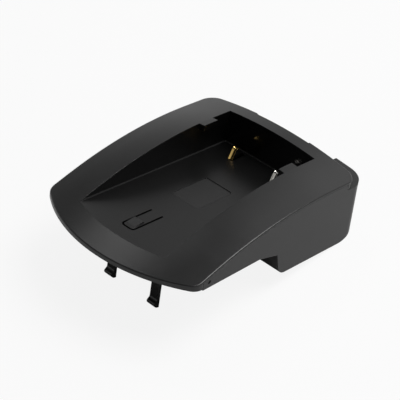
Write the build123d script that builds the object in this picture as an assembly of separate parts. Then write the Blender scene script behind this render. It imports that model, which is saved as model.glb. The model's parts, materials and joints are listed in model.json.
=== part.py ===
from build123d import *
import os
from math import asin, atan, atan2, ceil, cos, degrees, hypot, radians, sin, sqrt, tan

# A clip-on battery plate of a modular camera battery charger. A top cover holds the pocket for the battery
# pack, a lower housing carries the contact box and two long catches, and the electrical pieces lie between.
# All is drawn level first: x to the right, the front towards -y, the pocket's rear wall at y = 0 and its
# floor at z = 0. At the end everything is turned to the way the plate stands on a table: on the tips of its
# catches and on the lower rear edge of its box.

# Battery pack and pocket
pack_width = 38.2
pack_play = 0.65
pocket_wall = 1.6
pocket_round = 0.4
floor_thickness = 1.5
tab_reach = 2.5
tab_length = 6.7
tab_rear = -9.2
tab_thickness = 2.2

# Cover in plan
plate_width = 69.0
cover_rear = 6.3
cover_rear_corner = 5.0
rear_notch_width = 24.6
rear_notch_depth = 0.9
nose_front = -82.15
nose_radius = 56.5
nose_corner = 4.5

# Cover's arched top: its side edge runs level, then in an arc, then straight down to the nose
side_edge_height = 9.85
arch_start = -8.0
arch_radius = 161.0
front_slope = 0.36
crown_radius = 163.0
section_step = 8.0
section_margin = 4.0
edge_round = 0.5
lip_bottom = -4.5

# Walls, seams and play
cover_wall = 1.6
cover_edge = 0.7
housing_wall = 2.0
seam_gap = 0.12
fit_gap = 0.15

# Lower housing: skirt under the front, slanted box at the rear, ledge with two ears behind the cover
housing_front = -67.5
skirt_front_z = -5.0
skirt_rear_z = -4.2
gusset_start = -41.0
gusset_bottom = -6.2
plate_thickness = 1.4
box_front = -33.6
box_front_lean = 16.2
box_rear = 10.1
box_rear_lean = 2.8
box_bottom = -15.3
box_floor = 1.6
box_corner = 4.0
box_front_round = 4.2
box_rear_round = 8.0
ledge_top = 6.9
ledge_thickness = 1.8
ledge_front = 3.2
ledge_rear = 16.0
ledge_bow_radius = 170.0
ledge_corner = 10.0
ear_spacing = 36.8
rear_wall_front = 1.5
dimple_diameter = 1.4
dimple_depth = 0.3
dimple_y = -65.0

# Spring tongue that holds the pack's front end, and the plain recessed panel behind it
tongue_width = 4.4
tongue_slot = 0.75
tongue_front = -68.2
tongue_root = -54.1
tongue_corner = 0.9
bump_left = -2.2
bump_right = 1.6
bump_height = 0.6
bump_rear = -61.4
bump_front = -66.3
bump_back_run = 0.8
panel_width = 12.2
panel_front = -41.4
panel_rear = -24.1
panel_depth = 0.3
panel_corner = 1.4

# Catches that clip the plate to its base
hook_spacing = 20.6
hook_width = 3.5
hook_thickness = 1.3
hook_rear = -60.9
hook_tip = -28.0
hook_reach = 1.3
hook_nose_height = 2.1
hook_catch_height = 3.1
hook_ramp_bulge = 0.65
hook_nose_round = 0.8
hook_catch_round = 1.2
hook_rib_bottom = -11.5
hook_rib_thickness = 2.4
hook_rib_overhang = 2.0

# Screws and bosses
screw_diameter = 2.2
screw_head_diameter = 4.0
screw_head_height = 1.4
rear_screw_bite = 6.0
front_screw_bite = 4.5
screw_recess = 2.0
screw_clearance = 0.2
boss_diameter = 5.6
boss_seat = 1.2
rear_boss_x = 27.5
rear_boss_y = -3.0
rear_boss_split = -6.0
front_boss_x = 27.0
front_boss_y = -48.0
front_boss_split = -0.6

# Circuit board and what is on it
board_width = 46.0
board_front = -25.0
board_rear = -1.5
board_thickness = 1.6
board_bottom = -10.0
standoff_diameter = 5.0
standoff_x = 19.0
standoff_y = -18.0
board_screw_diameter = 2.0
board_screw_head = 3.6
board_screw_head_height = 1.2
contact_spacing = 19.4
contact_width = 1.8
contact_thickness = 0.4
contact_y = -8.3
contact_knee = 0.0
contact_lean = 23.0
contact_rise = 3.8
contact_curl = 0.95
contact_curl_turn = 200.0
contact_tail = 1.2
contact_slot_rear = -1.2
terminal_spacing = 12.0
terminal_count = 3
terminal_width = 4.0
terminal_thickness = 0.5
terminal_y = -13.0
terminal_length = 6.0
terminal_inset = 0.4
terminal_tail = 0.8

# Two places closer than this count as one when corners are picked
near = 0.05

half_width = plate_width / 2
pocket_half = pack_width / 2 + pack_play
hook_half_spacing = hook_spacing / 2
far = 2 * plate_width


def block(x0, x1, y0, y1, z0, z1):
    return Pos((x0 + x1) / 2, (y0 + y1) / 2, (z0 + z1) / 2) * Box(x1 - x0, y1 - y0, z1 - z0)


def rod(x, y, z0, z1, diameter):
    return Pos(x, y, (z0 + z1) / 2) * Cylinder(diameter / 2, z1 - z0)


def side_prism(face, half):
    # A side-view outline, drawn as (y, z), made solid to both sides of the middle
    return extrude(Plane.YZ * face, half, both=True)


def polygon(*points):
    return make_face(Polyline(*points, close=True))


# The arched top surface
def side_height(y):
    longest_run = arch_radius * sin(atan(front_slope))
    run = min(max(arch_start - y, 0), longest_run)
    straight = max(arch_start - y - longest_run, 0)
    return side_edge_height - arch_radius + sqrt(arch_radius**2 - run**2) - straight * front_slope


def top_section(y):
    # An arc across the plate, drawn past both side edges and closed far below
    wide = half_width + section_margin
    crown = side_height(y) + crown_radius - sqrt(crown_radius**2 - half_width**2)
    end = crown - crown_radius + sqrt(crown_radius**2 - wide**2)
    curve = ThreePointArc((-wide, end), (0, crown), (wide, end))
    base = Polyline((wide, end), (wide, end - far), (-wide, end - far), (-wide, end))
    return Plane(origin=(0, y, 0), x_dir=(1, 0, 0), z_dir=(0, -1, 0)) * make_face(curve + base)


section_count = ceil((cover_rear - nose_front + 2 * section_margin) / section_step) + 1
under_top = loft([top_section(nose_front - section_margin + i * section_step) for i in range(section_count)])


def below_top(drop):
    return Pos(0, 0, -drop) * under_top


# The cover's plan outline
corner_front = nose_front + nose_radius - sqrt(nose_radius**2 - half_width**2)


def cover_outline():
    nose = ThreePointArc((-half_width, corner_front), (0, nose_front), (half_width, corner_front))
    rest = Polyline(nose @ 1, (half_width, cover_rear), (-half_width, cover_rear), nose @ 0)
    face = make_face(nose + rest)
    front_corners = face.vertices().filter_by(lambda v: abs(v.X) > half_width - near and v.Y < 0)
    face = fillet(front_corners, nose_corner)
    rear_corners = face.vertices().filter_by(lambda v: v.Y > cover_rear - near)
    return fillet(rear_corners, cover_rear_corner)


def standing(face, z0=-far, z1=far):
    return extrude(Pos(0, 0, z0) * face, z1 - z0)


# Side-view lines of the lower housing
front_lean = tan(radians(box_front_lean))
rear_lean = tan(radians(box_rear_lean))


def box_front_y(z):
    return box_front - z * front_lean


def box_rear_y(z):
    return box_rear - z * rear_lean


def skirt_z(y):
    share = (y - housing_front) / (gusset_start - housing_front)
    return skirt_front_z + (skirt_rear_z - skirt_front_z) * share


def screw_places():
    for side in (-1, 1):
        yield side * rear_boss_x, rear_boss_y, rear_boss_split, box_bottom, rear_screw_bite
        yield side * front_boss_x, front_boss_y, front_boss_split, skirt_z(front_boss_y), front_screw_bite


contact_places = [-contact_spacing / 2, contact_spacing / 2]
terminal_places = [(i - (terminal_count - 1) / 2) * terminal_spacing for i in range(terminal_count)]


# Top cover: arched shell, pocket, tabs, spring tongue and screw bosses in one moulding
def make_top_cover():
    outline = standing(cover_outline())
    dome = under_top & outline
    dome = fillet(dome.faces().sort_by(Axis.Z)[-1].edges(), edge_round)
    cover = dome - below_top(cover_wall)
    edge_wall = dome - standing(offset(cover_outline(), -cover_wall))
    cover += edge_wall & block(-far, far, -far, housing_front - fit_gap, lip_bottom, far)
    cover -= block(-far, far, -far, housing_front - fit_gap, -far, lip_bottom)
    cover += edge_wall & block(-far, far, rear_wall_front, far, ledge_top + seam_gap, far)
    tub_half = pocket_half + pocket_wall
    tub = block(-tub_half, tub_half, nose_front, pocket_wall, -floor_thickness, far)
    cover += dome & tub
    pocket = block(-pocket_half, pocket_half, nose_front, 0, 0, far)
    foot_edges = pocket.faces().sort_by(Axis.Z)[0].edges().sort_by(Axis.Y)[1:]
    cover -= fillet(foot_edges, pocket_round)
    for side in (-1, 1):
        inner, outer = sorted((side * (pocket_half - tab_reach), side * (pocket_half + pocket_wall / 2)))
        tab = block(inner, outer, tab_rear - tab_length, tab_rear, -far, far)
        cover += (dome & tab) - below_top(tab_thickness)
        inner, outer = sorted((side * (half_width - housing_wall - fit_gap), side * far))
        rebate = block(inner, outer, housing_front - fit_gap, rear_wall_front, -far, far)
        cover -= rebate & below_top(cover_edge)
    half_notch = rear_notch_width / 2
    cover -= block(-half_notch, half_notch, cover_rear - rear_notch_depth, far, -far, far)
    cover += tongue_bump()
    cover -= tongue_slots()
    cover -= panel_recess()
    for x in contact_places:
        half_x = contact_width / 2 + fit_gap
        slot_front = contact_y - contact_thickness / 2 - fit_gap
        cover -= block(x - half_x, x + half_x, slot_front, contact_slot_rear, -far, 0)
    for x, y, split, _, bite in screw_places():
        cover += rod(x, y, split, far, boss_diameter) & below_top(cover_wall / 2)
        cover -= rod(x, y, split, split + bite, screw_diameter)
    return cover


def tongue_slots():
    half = tongue_width / 2 + tongue_slot
    outer = Pos(0, (tongue_front + tongue_root) / 2) * Rectangle(2 * half, tongue_root - tongue_front)
    inner = Pos(0, tongue_slot) * (
        Pos(0, (tongue_front + tongue_root) / 2) * Rectangle(tongue_width, tongue_root - tongue_front))
    outer = fillet(outer.vertices().group_by(Axis.Y)[0], tongue_corner + tongue_slot)
    inner = fillet(inner.vertices().group_by(Axis.Y)[0], tongue_corner)
    return standing(outer - inner)


def tongue_bump():
    profile = polygon((bump_front, 0), (bump_rear - bump_back_run, bump_height), (bump_rear, 0),
                      (bump_rear, -floor_thickness / 2), (bump_front, -floor_thickness / 2))
    return Pos((bump_left + bump_right) / 2, 0, 0) * side_prism(profile, (bump_right - bump_left) / 2)


def panel_recess():
    panel = Pos(0, (panel_front + panel_rear) / 2) * Rectangle(panel_width, panel_rear - panel_front)
    panel = fillet(panel.vertices(), panel_corner)
    return standing(panel, -panel_depth, far)


# Lower housing: skirt, bottom, slanted contact box, rear ledge and catches in one moulding
def make_lower_housing():
    outer = housing_block(0) & below_top(cover_edge + seam_gap)
    housing = outer - housing_block(housing_wall)
    tub_half = pocket_half + pocket_wall + fit_gap
    housing -= block(-tub_half, tub_half, -far, pocket_wall + fit_gap, -floor_thickness - fit_gap, far)
    inside = block(-half_width + housing_wall, half_width - housing_wall, -far, rear_wall_front, -far, far)
    housing -= inside - below_top(cover_wall + seam_gap)
    housing -= block(-far, far, rear_wall_front - fit_gap, far, ledge_top, far)
    housing += rear_ledge()
    housing += catches()
    head_room = screw_head_diameter + 2 * screw_clearance
    for x, y, split, seat, _ in screw_places():
        housing += rod(x, y, seat, split, boss_diameter + 2 * boss_seat) & housing_block(0)
        housing -= rod(x, y, seat, split, screw_diameter + 2 * screw_clearance)
        housing -= rod(x, y, seat - screw_recess, seat + screw_recess, head_room)
    for side in (-1, 1):
        x = side * standoff_x
        housing += rod(x, standoff_y, box_bottom, board_bottom, standoff_diameter)
        housing -= rod(x, standoff_y, box_bottom + box_floor, board_bottom, board_screw_diameter)
        dimple_z = (skirt_z(dimple_y) + side_height(dimple_y)) / 2
        dimple = Pos(side * half_width, dimple_y, dimple_z) * Rot(0, 90, 0)
        housing -= dimple * Cylinder(dimple_diameter / 2, 2 * dimple_depth)
    for x in terminal_places:
        half = terminal_width / 2 + fit_gap
        window_front = terminal_y - terminal_length - fit_gap
        window_rear = terminal_y + terminal_thickness + fit_gap
        housing -= block(x - half, x + half, window_front, window_rear, -far, box_bottom + 2 * box_floor)
    return housing


def housing_block(inset):
    # The housing's outer block, or with an inset the room inside it
    bottom = box_bottom + (box_floor if inset else 0)
    front_inset = inset / cos(radians(box_front_lean))
    rear_inset = inset / cos(radians(box_rear_lean))
    lift = plate_thickness if inset else 0
    front = housing_front + inset
    joint_z = gusset_bottom + lift
    profile = polygon(
        (front, far), (front, skirt_z(front) + lift), (gusset_start, skirt_rear_z + lift),
        (box_front_y(joint_z) + front_inset, joint_z), (box_front_y(bottom) + front_inset, bottom),
        (box_rear_y(bottom) - rear_inset + fit_gap, bottom), (box_rear_y(far) - rear_inset + fit_gap, far))
    corners = profile.vertices().filter_by(lambda v: abs(v.Y - bottom) < near).sort_by(Axis.X)
    profile = fillet(corners[0], max(box_front_round - inset, fit_gap))
    corners = profile.vertices().filter_by(lambda v: abs(v.Y - bottom) < near).sort_by(Axis.X)
    profile = fillet(corners[-1], box_rear_round - inset)
    half = half_width - inset
    plan_rear = box_rear_y(far) - rear_inset
    plan = polygon((-half, -far), (half, -far), (half, plan_rear), (-half, plan_rear))
    plan = fillet(plan.vertices().group_by(Axis.Y)[-1], box_corner - inset)
    slanted = extrude(Pos(0, 0, far) * plan, 2 * far / cos(radians(box_rear_lean)),
                      dir=(0, sin(radians(box_rear_lean)), -cos(radians(box_rear_lean))))
    return side_prism(profile, half) & slanted


def rear_ledge():
    # A shelf under the cover's rear edge, with a bowed ear beyond the box on either side
    side_y = ledge_rear - ledge_bow_radius + sqrt(ledge_bow_radius**2 - half_width**2)
    bow = ThreePointArc((-half_width, side_y), (0, ledge_rear), (half_width, side_y))
    rest = Polyline((half_width, side_y), (half_width, ledge_front), (-half_width, ledge_front),
                    (-half_width, side_y))
    plan = make_face(bow + rest)
    plan = fillet(plan.vertices().group_by(Axis.Y)[-1], ledge_corner)
    ledge = standing(plan, ledge_top - ledge_thickness, ledge_top)
    between = block(-ear_spacing / 2, ear_spacing / 2, -far, far, -far, far)
    return (ledge & housing_block(0)) + (ledge - between)


def catches():
    rib_rear = hook_rear + (hook_rib_thickness - hook_thickness) / 2
    rib_half = hook_half_spacing + hook_width / 2 + hook_rib_overhang
    rib = block(-rib_half, rib_half, rib_rear - hook_rib_thickness, rib_rear, hook_rib_bottom,
                skirt_z(hook_rear) + plate_thickness / 2)
    front = hook_rear - hook_thickness
    tip = Vector(hook_rear, hook_tip)
    nose = Vector(front - hook_reach, hook_tip + hook_nose_height)
    across = (nose - tip).rotate(Axis.Z, 90).normalized() * hook_ramp_bulge
    ramp = ThreePointArc(tip, (tip + nose) / 2 + across, nose)
    catch = Vector(front, hook_tip + hook_catch_height)
    sides = Polyline(nose, catch, (front, hook_rib_bottom), (hook_rear, hook_rib_bottom), tip)
    profile = make_face(ramp + sides)
    for corner, radius in ((nose, hook_nose_round), (catch, hook_catch_round)):
        profile = fillet(profile.vertices().sort_by_distance(corner)[0], radius)
    leg = side_prism(profile, hook_width / 2)
    return rib + Pos(-hook_half_spacing, 0, 0) * leg + Pos(hook_half_spacing, 0, 0) * leg


# Spring contact: a strip that stands on the board, comes up through the pocket floor and curls at its tip
def make_contact(x):
    foot = Vector(contact_y, board_bottom - contact_tail)
    knee = Vector(contact_y, contact_knee)
    direction = Vector(sin(radians(contact_lean)), cos(radians(contact_lean)))
    top = knee + direction * contact_rise
    centre = top + Vector(direction.Y, -direction.X) * contact_curl
    curl = CenterArc(centre, contact_curl, 180 - contact_lean, -contact_curl_turn)
    line = Polyline(foot, knee, top) + curl
    strip = offset(Wire(line.edges()), contact_thickness / 2, side=Side.BOTH)
    return Pos(x, 0, 0) * side_prism(make_face(strip), contact_width / 2)


def make_circuit_board():
    board = block(-board_width / 2, board_width / 2, board_front, board_rear, board_bottom,
                  board_bottom + board_thickness)
    for x in contact_places:
        half_x = contact_width / 2 + fit_gap
        half_y = contact_thickness / 2 + fit_gap
        board -= block(x - half_x, x + half_x, contact_y - half_y, contact_y + half_y, -far, far)
    for x in terminal_places:
        half = terminal_width / 2 + fit_gap
        slot_rear = terminal_y + terminal_thickness + fit_gap
        board -= block(x - half, x + half, terminal_y - fit_gap, slot_rear, -far, far)
    for side in (-1, 1):
        board -= rod(side * standoff_x, standoff_y, -far, far, board_screw_diameter + 2 * screw_clearance)
    return board


# Base terminal: an angled strip from the board to its window in the housing's bottom
def make_terminal(x):
    pad_bottom = box_bottom + terminal_inset
    half = terminal_width / 2
    leg = block(x - half, x + half, terminal_y, terminal_y + terminal_thickness, pad_bottom,
                board_bottom + board_thickness + terminal_tail)
    pad = block(x - half, x + half, terminal_y - terminal_length, terminal_y, pad_bottom,
                pad_bottom + terminal_thickness)
    return leg + pad


def make_case_screws():
    screws = []
    for x, y, split, seat, bite in screw_places():
        head_top = seat + screw_recess
        shank = rod(x, y, head_top, split + bite, screw_diameter)
        head = rod(x, y, head_top - screw_head_height, head_top, screw_head_diameter)
        screws.append(shank + head)
    return Compound(children=screws)


def make_board_screws():
    top = board_bottom + board_thickness
    screws = []
    for side in (-1, 1):
        x = side * standoff_x
        shank = rod(x, standoff_y, box_bottom + 2 * box_floor, top, board_screw_diameter)
        screws.append(shank + rod(x, standoff_y, top, top + board_screw_head_height, board_screw_head))
    return Compound(children=screws)


# Small surface-mounted pieces on the board: length, depth, height and place
board_pieces = {
    "voltage_coding_resistor": (3.2, 1.6, 0.6, -6.0, -19.0),
    "current_coding_resistor": (3.2, 1.6, 0.6, 0.0, -19.0),
    "filter_capacitor": (3.2, 2.5, 1.4, 6.0, -19.0),
    "polarity_diode": (4.4, 2.6, 2.2, -16.0, -9.0),
    "resettable_fuse": (4.5, 3.2, 1.0, 16.0, -9.0),
}


def make_board_piece(length, depth, height, x, y):
    top = board_bottom + board_thickness
    return block(x - length / 2, x + length / 2, y - depth / 2, y + depth / 2, top, top + height)


nodes = {
    "top_cover": make_top_cover(),
    "lower_housing": make_lower_housing(),
    "positive_contact": make_contact(contact_places[0]),
    "negative_contact": make_contact(contact_places[1]),
    "circuit_board": make_circuit_board(),
    "case_screws": make_case_screws(),
    "board_screws": make_board_screws(),
}
for name, x in zip(("positive", "sense", "negative"), terminal_places):
    nodes[f"base_terminal_{name}"] = make_terminal(x)
for name, sizes in board_pieces.items():
    nodes[name] = make_board_piece(*sizes)

# The plate stands on its catch tips and on the rounded lower rear edge of its box
round_z = box_bottom + box_rear_round
round_y = box_rear_y(round_z) + fit_gap - box_rear_round / cos(radians(box_rear_lean))
reach = hypot(round_y - hook_rear, round_z - hook_tip)
tilt = atan2(round_z - hook_tip, round_y - hook_rear) - asin(box_rear_round / reach)
turned = {name: Rot(-degrees(tilt), 0, 0) * solid for name, solid in nodes.items()}
boxes = [solid.bounding_box() for solid in turned.values()]
middle_y = (min(b.min.Y for b in boxes) + max(b.max.Y for b in boxes)) / 2
place = Pos(0, -middle_y, -min(b.min.Z for b in boxes))

os.makedirs("parts", exist_ok=True)
for name, solid in turned.items():
    export_step(place * solid, f"parts/{name}.step")
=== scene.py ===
import json
from math import cos, radians, sin, tan
import bmesh
import bpy
from mathutils import Matrix, Vector

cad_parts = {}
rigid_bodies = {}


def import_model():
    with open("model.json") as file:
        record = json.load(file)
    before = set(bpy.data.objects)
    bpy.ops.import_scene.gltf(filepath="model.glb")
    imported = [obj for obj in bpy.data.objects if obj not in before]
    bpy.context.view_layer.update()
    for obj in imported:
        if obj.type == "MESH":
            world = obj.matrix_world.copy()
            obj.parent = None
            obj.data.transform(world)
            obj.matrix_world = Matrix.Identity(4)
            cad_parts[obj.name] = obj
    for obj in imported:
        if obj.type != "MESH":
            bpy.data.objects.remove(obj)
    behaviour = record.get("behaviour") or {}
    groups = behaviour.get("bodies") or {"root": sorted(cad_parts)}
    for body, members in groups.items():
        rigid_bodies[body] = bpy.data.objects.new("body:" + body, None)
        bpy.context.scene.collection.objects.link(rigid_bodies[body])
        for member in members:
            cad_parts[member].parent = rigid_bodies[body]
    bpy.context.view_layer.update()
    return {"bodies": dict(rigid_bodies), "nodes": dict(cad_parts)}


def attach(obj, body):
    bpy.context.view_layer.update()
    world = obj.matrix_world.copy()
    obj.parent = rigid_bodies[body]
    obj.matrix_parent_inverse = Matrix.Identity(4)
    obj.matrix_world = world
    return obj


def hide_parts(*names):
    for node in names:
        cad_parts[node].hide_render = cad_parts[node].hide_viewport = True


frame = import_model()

nodes = frame["nodes"]
scene = bpy.context.scene
ownObjects = set(nodes.values()) | set(frame["bodies"].values())
for item in list(bpy.data.objects):  # what the startup file brings along goes
    if item not in ownObjects:
        bpy.data.objects.remove(item)
print("stage 1: frame loaded,", len(nodes), "CAD nodes")

mm = 0.001
plateFrame = {"lean": 11.176, "move": (0.0, 32.705, 15.665)}  # the plate stands nose up: degrees, mm
leanTurn = Matrix.Rotation(radians(-plateFrame["lean"]), 4, "X")
plateToModel = Matrix.Translation(Vector(plateFrame["move"]) * mm) @ leanTurn
edgeSamples = 6  # for the softened edges
white = (1, 1, 1, 1)


def linear(hexCode):
    parts = [int(hexCode[i:i + 2], 16) / 255 for i in (1, 3, 5)]
    return [c / 12.92 if c <= 0.04045 else ((c + 0.055) / 1.055) ** 2.4 for c in parts] + [1.0]


def addNode(tree, kind, values=None, links=None, **settings):
    node = tree.nodes.new(kind)
    for name, value in settings.items():
        setattr(node, name, value)
    for name, value in (values or {}).items():
        node.inputs[name].default_value = value
    for name, socket in (links or {}).items():
        tree.links.new(socket, node.inputs[name])
    return node


def newMaterial(name):
    material = bpy.data.materials.new(name)
    material.use_nodes = True
    material.node_tree.nodes.clear()
    return material, material.node_tree


def finishMaterial(tree, shader):
    addNode(tree, "ShaderNodeOutputMaterial", links={"Surface": shader.outputs[0]})


# Black ABS, moulded against spark-eroded steel: even, dry black with a fine grain that breaks the light
pocketWidth = (-19.78, 19.78)
blackMoulding = {
    "dark": "#0c0c0c", "light": "#131313", "ior": 1.53, "roughness": (0.26, 0.33),
    "coverGloss": 0.5, "housingGloss": 0.46,
    "grainMm": 0.45,  # the real grit is about 0.05 mm, drawn coarser so that it shows at all
    "grainDepthMm": 0.012, "grainDetail": 4.0, "cloudMm": 14.0, "cloudDetail": 3.0, "edgeMm": 0.18,
    "roughnessAndPaintedLight": {  # places in the pocket with another roughness and a colour of painted light and shade, limits in mm in the plate's own level frame
        # floor, walls and the crease at their foot darker: painted shade; the tongue's bump lighter: painted
        # highlight; the panel lighter, partly for its print and partly as painted sheen; the rear wall kept at about
        # the moulding's own tone
        "floor": {"X": pocketWidth, "Y": (-80.0, 0.02), "Z": (-0.1, 0.02), "roughness": 0.3, "colour": "#080808"},
        "panel": {"X": (-6.1, 6.1), "Y": (-41.4, -24.1), "Z": (-0.4, -0.15), "roughness": 0.5, "colour": "#1a1a1a"},
        "walls": {"X": pocketWidth, "Y": (-70.0, 0.02), "Z": (0.02, 20.0), "roughness": 0.33, "colour": "#030303"},
        "foot": {"X": pocketWidth, "Y": (-90.0, 0.02), "Z": (0.02, 0.42), "roughness": 0.9, "colour": "#050505"},
        "rearWall": {"X": pocketWidth, "Y": (-0.05, 0.02), "Z": (0.4, 20.0), "roughness": 0.16, "colour": "#101010"},
        "tongueBump": {"X": (-2.4, 1.8), "Y": (-66.7, -61.2), "Z": (0.03, 2.0),
                       "roughness": 0.55, "colour": "#181818"},
    },
}


def regionMask(tree, axes, region):
    mask = None
    for axis in "XYZ":
        low, high = region[axis]
        inside = addNode(tree, "ShaderNodeMath", {1: (low + high) / 2 * mm, 2: (high - low) / 2 * mm},
                         {0: axes.outputs[axis]}, operation="COMPARE").outputs[0]
        if mask is not None:
            inside = addNode(tree, "ShaderNodeMath", links={0: mask, 1: inside}, operation="MULTIPLY").outputs[0]
        mask = inside
    return mask


def mouldedAbs(name, gloss, withPocket):
    look = blackMoulding
    material, tree = newMaterial(name)
    place = addNode(tree, "ShaderNodeTexCoord").outputs["Object"]
    cloud = addNode(tree, "ShaderNodeTexNoise", {"Scale": 1 / (look["cloudMm"] * mm), "Detail": look["cloudDetail"]},
                    {"Vector": place})
    grain = addNode(tree, "ShaderNodeTexNoise", {"Scale": 1 / (look["grainMm"] * mm), "Detail": look["grainDetail"]},
                    {"Vector": place})
    colour = addNode(tree, "ShaderNodeMix", {"A": linear(look["dark"]), "B": linear(look["light"])},
                     {"Factor": cloud.outputs["Fac"]}, data_type="RGBA").outputs["Result"]
    rough = addNode(tree, "ShaderNodeMapRange", {"To Min": look["roughness"][0], "To Max": look["roughness"][1]},
                    {"Value": cloud.outputs["Fac"]}).outputs[0]
    if withPocket:
        level = addNode(tree, "ShaderNodeMapping", {
            "Location": -(leanTurn.inverted() @ (Vector(plateFrame["move"]) * mm)),
            "Rotation": (radians(plateFrame["lean"]), 0, 0)}, {"Vector": place}, vector_type="POINT")
        axes = addNode(tree, "ShaderNodeSeparateXYZ", links={"Vector": level.outputs[0]})
        for region in look["roughnessAndPaintedLight"].values():
            mask = regionMask(tree, axes, region)
            rough = addNode(tree, "ShaderNodeMix", {"B": region["roughness"]},
                            {"Factor": mask, "A": rough}).outputs["Result"]
            # each listed place gets its own colour here: painted shade or painted highlight, as listed above
            colour = addNode(tree, "ShaderNodeMix", {"B": linear(region["colour"])}, {"Factor": mask, "A": colour},
                             data_type="RGBA").outputs["Result"]
    edge = addNode(tree, "ShaderNodeBevel", {"Radius": look["edgeMm"] * mm}, samples=edgeSamples)  # never knife sharp
    bump = addNode(tree, "ShaderNodeBump", {"Strength": 1.0, "Distance": look["grainDepthMm"] * mm},
                   {"Height": grain.outputs["Fac"], "Normal": edge.outputs[0]})
    shader = addNode(tree, "ShaderNodeBsdfPrincipled", {"IOR": look["ior"], "Specular IOR Level": gloss},
                     {"Base Color": colour, "Roughness": rough, "Normal": bump.outputs[0]})
    finishMaterial(tree, shader)
    return material


coverAbs = mouldedAbs("moulded_black_abs_cover", blackMoulding["coverGloss"], True)
housingAbs = mouldedAbs("moulded_black_abs_housing", blackMoulding["housingGloss"], False)


# Plated spring bronze and steel: bright metal with a slightly uneven sheen, duller on the zinc
sheenDetail = 2.0
platings = {
    "goldPlate": {"colour": "#e8c478", "roughness": (0.05, 0.1), "sheenMm": 0.12, "edgeMm": 0.12},
    "nickelPlate": {"colour": "#d9d6cf", "roughness": (0.05, 0.1), "sheenMm": 0.12, "edgeMm": 0.12},
    "zincSteel": {"colour": "#b9bcc0", "roughness": (0.28, 0.42), "sheenMm": 0.3, "edgeMm": 0.12},
}


def platedMetal(name, look):
    material, tree = newMaterial(name)
    place = addNode(tree, "ShaderNodeTexCoord").outputs["Object"]
    sheen = addNode(tree, "ShaderNodeTexNoise", {"Scale": 1 / (look["sheenMm"] * mm), "Detail": sheenDetail},
                    {"Vector": place})
    rough = addNode(tree, "ShaderNodeMapRange", {"To Min": look["roughness"][0], "To Max": look["roughness"][1]},
                    {"Value": sheen.outputs["Fac"]})
    edge = addNode(tree, "ShaderNodeBevel", {"Radius": look["edgeMm"] * mm}, samples=edgeSamples)
    shader = addNode(tree, "ShaderNodeBsdfPrincipled", {"Base Color": linear(look["colour"]), "Metallic": 1.0},
                     {"Roughness": rough.outputs[0], "Normal": edge.outputs[0]})
    finishMaterial(tree, shader)
    return material


goldPlate = platedMetal("gold_plated_spring_bronze", platings["goldPlate"])
nickelPlate = platedMetal("nickel_plated_spring_bronze", platings["nickelPlate"])
zincSteel = platedMetal("zinc_plated_steel", platings["zincSteel"])


# Small pieces inside: lacquered green laminate, and moulded or fired chips with a faint mottle
spotDetail = 3.0
insideFinishes = {
    "glass_epoxy_laminate": {"dark": "#1f4a2a", "light": "#2a5c34", "roughness": 0.38, "ior": 1.5, "spotMm": 1.2},
    "moulded_black_epoxy": {"dark": "#151515", "light": "#202020", "roughness": 0.5, "ior": 1.5, "spotMm": 0.6},
    "fired_tan_ceramic": {"dark": "#8a6a48", "light": "#a07d57", "roughness": 0.45, "ior": 1.5, "spotMm": 0.5},
}


def insideFinish(name, look):
    material, tree = newMaterial(name)
    place = addNode(tree, "ShaderNodeTexCoord").outputs["Object"]
    spots = addNode(tree, "ShaderNodeTexNoise", {"Scale": 1 / (look["spotMm"] * mm), "Detail": spotDetail},
                    {"Vector": place})
    colour = addNode(tree, "ShaderNodeMix", {"A": linear(look["dark"]), "B": linear(look["light"])},
                     {"Factor": spots.outputs["Fac"]}, data_type="RGBA")
    shader = addNode(tree, "ShaderNodeBsdfPrincipled", {"Roughness": look["roughness"], "IOR": look["ior"]},
                     {"Base Color": colour.outputs["Result"]})
    finishMaterial(tree, shader)
    return material


laminate, blackEpoxy, tanCeramic = [insideFinish(name, look) for name, look in insideFinishes.items()]

finishes = {
    "top_cover": coverAbs, "lower_housing": housingAbs, "circuit_board": laminate, "board_screws": zincSteel,
    "base_terminal_positive": nickelPlate, "base_terminal_sense": nickelPlate, "base_terminal_negative": nickelPlate,
    "voltage_coding_resistor": blackEpoxy, "current_coding_resistor": blackEpoxy, "polarity_diode": blackEpoxy,
    "filter_capacitor": tanCeramic, "resettable_fuse": tanCeramic,
}
for name, material in finishes.items():
    nodes[name].data.materials.clear()
    nodes[name].data.materials.append(material)
print("stage 2: materials on", len(finishes), "nodes")


def pickVerts(piece, test):
    bpy.ops.mesh.select_all(action="DESELECT")
    mesh = bmesh.from_edit_mesh(piece.data)
    for vert in mesh.verts:
        vert.select_set(test(vert.co))
    mesh.select_flush_mode()
    bmesh.update_edit_mesh(piece.data)


def pickFaces(piece, test):
    bpy.ops.mesh.select_all(action="DESELECT")
    mesh = bmesh.from_edit_mesh(piece.data)
    for face in mesh.faces:
        face.select_set(test(face))
    bmesh.update_edit_mesh(piece.data)


smoothAngle = 35  # degrees, sharper edges stay sharp


def settle(piece, material, node):  # from mm in the plate's level frame to the model, for the CAD node
    bpy.ops.object.shade_smooth_by_angle(angle=radians(smoothAngle))
    piece.matrix_world = plateToModel @ Matrix.Scale(mm, 4)
    bpy.ops.object.transform_apply(location=True, rotation=True, scale=True)
    piece.data.materials.clear()
    piece.data.materials.append(material)
    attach(piece, "root")
    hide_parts(node)


# Contacts: spring strips, stamped with a channel down the front, curled over at the tip; mm and degrees
contactStrip = {
    "x": 9.7, "y": -8.3, "foot": -11.2, "width": 1.8, "thickness": 0.4, "sections": 6,
    "channel": 0.3, "channelShares": (0.75, 0.4),  # pressed in twice, deeper in the middle
    "kneeRound": 0.6, "kneeSteps": 5, "lean": 23.0, "rise": 3.8,
    "curl": 0.95, "curlTurn": 125.0, "curlSteps": 18,
    "softEdge": 0.06, "softSteps": 3, "softAngle": 40.0, "weld": 0.001,
}


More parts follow.
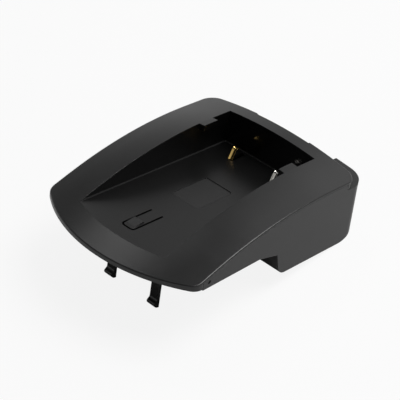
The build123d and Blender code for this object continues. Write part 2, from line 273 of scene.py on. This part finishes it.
def buildContact(name, x, material, node):
    look = contactStrip
    lean = radians(look["lean"])
    bpy.ops.object.select_all(action="DESELECT")
    bpy.ops.mesh.primitive_grid_add(x_subdivisions=look["sections"], y_subdivisions=1, size=1.0)  # a flat section
    strip = bpy.context.object
    strip.name = name
    bpy.ops.object.mode_set(mode="EDIT")
    bpy.ops.mesh.select_all(action="SELECT")
    bpy.ops.transform.resize(value=(look["width"], look["thickness"], 1.0))
    bpy.ops.transform.translate(value=(x, look["y"], look["foot"]))
    for share in look["channelShares"]:
        pickVerts(strip, lambda co: co.y < look["y"] and abs(co.x - x) < share * look["width"] / 2)  # front side
        bpy.ops.transform.translate(value=(0, look["channel"] / len(look["channelShares"]), 0))
    bendLow = -look["kneeRound"] * tan(lean / 2)
    bpy.ops.mesh.select_all(action="SELECT")
    bpy.ops.mesh.extrude_region_move(TRANSFORM_OT_translate={"value": (0, 0, bendLow - look["foot"])})
    bpy.ops.mesh.spin(steps=look["kneeSteps"], angle=lean,
                      center=(x, look["y"] + look["kneeRound"], bendLow), axis=(1, 0, 0))
    run = look["rise"] + bendLow
    bpy.ops.mesh.extrude_region_move(TRANSFORM_OT_translate={"value": (0, run * sin(lean), run * cos(lean))})
    tipY = look["y"] + look["rise"] * sin(lean) + look["curl"] * cos(lean)
    tipZ = look["rise"] * cos(lean) - look["curl"] * sin(lean)
    bpy.ops.mesh.spin(steps=look["curlSteps"], angle=radians(look["curlTurn"]),
                      center=(x, tipY, tipZ), axis=(1, 0, 0))
    bpy.ops.mesh.select_all(action="SELECT")
    bpy.ops.mesh.remove_doubles(threshold=look["weld"])
    bpy.ops.mesh.normals_make_consistent(inside=False)
    bpy.ops.object.mode_set(mode="OBJECT")
    soft = strip.modifiers.new("softEdge", "BEVEL")
    soft.width = look["softEdge"]
    soft.segments = look["softSteps"]
    soft.limit_method = "ANGLE"
    soft.angle_limit = radians(look["softAngle"])
    bpy.ops.object.modifier_apply(modifier=soft.name)
    settle(strip, material, node)


buildContact("contact_strip_left", -contactStrip["x"], goldPlate, "positive_contact")
buildContact("contact_strip_right", contactStrip["x"], nickelPlate, "negative_contact")

# Case screws: pan heads with a cross recess, seen from below in their wells; sizes in mm
levelFace = 0.9  # a face lies level from this height of its normal on
caseScrew = {
    "head": 4.0, "headHeight": 1.4, "headRound": 0.45, "roundSteps": 5, "sides": 64, "shank": 2.2,
    "crossLength": 2.5, "crossWidth": 0.62, "crossDepth": 0.8,
    "places": (  # x, y, underside of the head, end of the shank
        (-27.5, -3.0, -14.7, 0.0), (27.5, -3.0, -14.7, 0.0),
        (-27.0, -48.0, -3.811, 3.9), (27.0, -48.0, -3.811, 3.9),
    ),
}


def buildScrew(x, y, low, end):
    look = caseScrew
    bpy.ops.object.select_all(action="DESELECT")
    bpy.ops.mesh.primitive_cylinder_add(vertices=look["sides"], radius=look["head"] / 2, depth=look["headHeight"],
                                        location=(x, y, low + look["headHeight"] / 2))
    screw = bpy.context.object
    bpy.ops.object.transform_apply(location=True, rotation=True, scale=True)
    bpy.ops.object.mode_set(mode="EDIT")
    pickFaces(screw, lambda face: face.normal.z < -levelFace)  # the head's underside
    bpy.ops.mesh.bevel(offset=look["headRound"], segments=look["roundSteps"])
    pickFaces(screw, lambda face: face.normal.z > levelFace)  # its seat, where the shank starts
    bpy.ops.mesh.inset(thickness=(look["head"] - look["shank"]) / 2)
    bpy.ops.mesh.extrude_region_move(TRANSFORM_OT_translate={"value": (0, 0, end - low - look["headHeight"])})
    bpy.ops.object.mode_set(mode="OBJECT")
    for wide, deep in ((look["crossLength"], look["crossWidth"]), (look["crossWidth"], look["crossLength"])):
        bpy.ops.object.select_all(action="DESELECT")
        bpy.ops.mesh.primitive_cube_add(size=1.0, location=(x, y, low), scale=(wide, deep, 2 * look["crossDepth"]))
        cutter = bpy.context.object
        bpy.context.view_layer.objects.active = screw
        cut = screw.modifiers.new("crossRecess", "BOOLEAN")
        cut.object, cut.operation, cut.solver = cutter, "DIFFERENCE", "EXACT"
        bpy.ops.object.modifier_apply(modifier=cut.name)
        bpy.data.objects.remove(cutter)
    return screw


screws = [buildScrew(*place) for place in caseScrew["places"]]
bpy.ops.object.select_all(action="DESELECT")
for screw in screws:
    screw.select_set(True)
bpy.context.view_layer.objects.active = screws[0]
bpy.ops.object.join()
caseScrews = bpy.context.object
caseScrews.name = "cross_recess_screws"
settle(caseScrews, zincSteel, "case_screws")
print("stage 3: contacts and case screws modelled")

# Floor, light and camera; metres, watts and degrees, lens and sensor in mm
studio = {
    "floorSize": 6.0, "floorColour": "#f4f4f4", "floorWhite": 0.88, "floorGlow": 0.02, "worldStrength": 0.22,
    "skyDim": 0.12, "skyDimHeight": 0.6,  # the white backdrop is low, the room above it is dimmer
    "lamps": {
        "backLight": {"place": (0.012, 0.685, 0.639), "size": 0.68, "power": 1.1},  # broad sheen on the right arm
        "leftLight": {"place": (-0.458, 0.233, 0.746), "size": 0.26, "power": 0.48},  # small sheen on the nose
        "topLight": {"place": (0.385, 0.37, 0.968), "size": 0.64, "power": 8.8},  # floor, shadow to the front
    },
}
cameraView = {
    "place": (0.25015, -0.25299, 0.32061), "tilt": 49.734, "roll": 0.441, "turn": 44.36,
    "lens": 124.29, "sensor": 36.0, "clipStart": 0.01,
}


def seenRays(tree):  # what the camera sees straight, and that together with what it sees mirrored or through glass
    ray = addNode(tree, "ShaderNodeLightPath")
    seen = ray.outputs["Is Camera Ray"]
    for kind in ("Is Glossy Ray", "Is Transmission Ray"):
        seen = addNode(tree, "ShaderNodeMath", links={0: seen, 1: ray.outputs[kind]}, operation="MAXIMUM").outputs[0]
    return ray.outputs["Is Camera Ray"], seen


bpy.ops.object.select_all(action="DESELECT")
bpy.ops.mesh.primitive_plane_add(size=studio["floorSize"], location=(0, 0, 0))
floor = bpy.context.object
floor.name = "floor"

# White paper, nearly burnt out with a faint shadow left, and clear from below for a look at the underside
floorPaper, tree = newMaterial("white_paper_sweep")
inCamera, seen = seenRays(tree)
share = addNode(tree, "ShaderNodeMapRange", {"To Min": studio["floorGlow"], "To Max": studio["floorWhite"]},
                {"Value": inCamera})
share = addNode(tree, "ShaderNodeMath", links={0: share.outputs[0], 1: seen}, operation="MULTIPLY")
paper = addNode(tree, "ShaderNodeBsdfDiffuse", {"Color": linear(studio["floorColour"])})
glow = addNode(tree, "ShaderNodeEmission", {"Color": white, "Strength": 1.0})
fromAbove = addNode(tree, "ShaderNodeMixShader", links={
    0: share.outputs[0], 1: paper.outputs[0], 2: glow.outputs[0]})
below = addNode(tree, "ShaderNodeNewGeometry").outputs["Backfacing"]
clear = addNode(tree, "ShaderNodeBsdfTransparent")
finishMaterial(tree, addNode(tree, "ShaderNodeMixShader", links={
    0: below, 1: fromAbove.outputs[0], 2: clear.outputs[0]}))
floor.data.materials.append(floorPaper)

# White backdrop for the camera; what falls on the plate is weaker and dims with height
world = bpy.data.worlds.new("studio")
scene.world = world
world.use_nodes = True
tree = world.node_tree
tree.nodes.clear()
inCamera, seen = seenRays(tree)
strength = addNode(tree, "ShaderNodeMapRange", {"To Min": studio["worldStrength"], "To Max": 1.0}, {"Value": seen})
direction = addNode(tree, "ShaderNodeSeparateXYZ", links={
    "Vector": addNode(tree, "ShaderNodeTexCoord").outputs["Generated"]})
height = addNode(tree, "ShaderNodeMapRange", {
    "From Max": studio["skyDimHeight"], "To Min": 1.0, "To Max": studio["skyDim"]}, {"Value": direction.outputs["Z"]})
strength = addNode(tree, "ShaderNodeMath", links={0: strength.outputs[0], 1: height.outputs[0]}, operation="MULTIPLY")
strength = addNode(tree, "ShaderNodeMath", links={0: strength.outputs[0], 1: inCamera}, operation="MAXIMUM")
sky = addNode(tree, "ShaderNodeBackground", {"Color": white}, {"Strength": strength.outputs[0]})
addNode(tree, "ShaderNodeOutputWorld", links={"Surface": sky.outputs[0]})

for name, lamp in studio["lamps"].items():
    data = bpy.data.lights.new(name, "AREA")
    data.size = lamp["size"]
    data.energy = lamp["power"]
    light = bpy.data.objects.new(name, data)
    light.location = lamp["place"]
    light.rotation_euler = (-Vector(lamp["place"])).to_track_quat("-Z", "Y").to_euler()
    scene.collection.objects.link(light)

cameraData = bpy.data.cameras.new("camera")
cameraData.lens = cameraView["lens"]
cameraData.sensor_width = cameraView["sensor"]
cameraData.clip_start = cameraView["clipStart"]
camera = bpy.data.objects.new("camera", cameraData)
camera.location = cameraView["place"]
camera.rotation_euler = [radians(cameraView[angle]) for angle in ("tilt", "roll", "turn")]
scene.collection.objects.link(camera)
scene.camera = camera
scene.view_settings.view_transform = "Standard"
print("stage 4: floor, light and camera set")
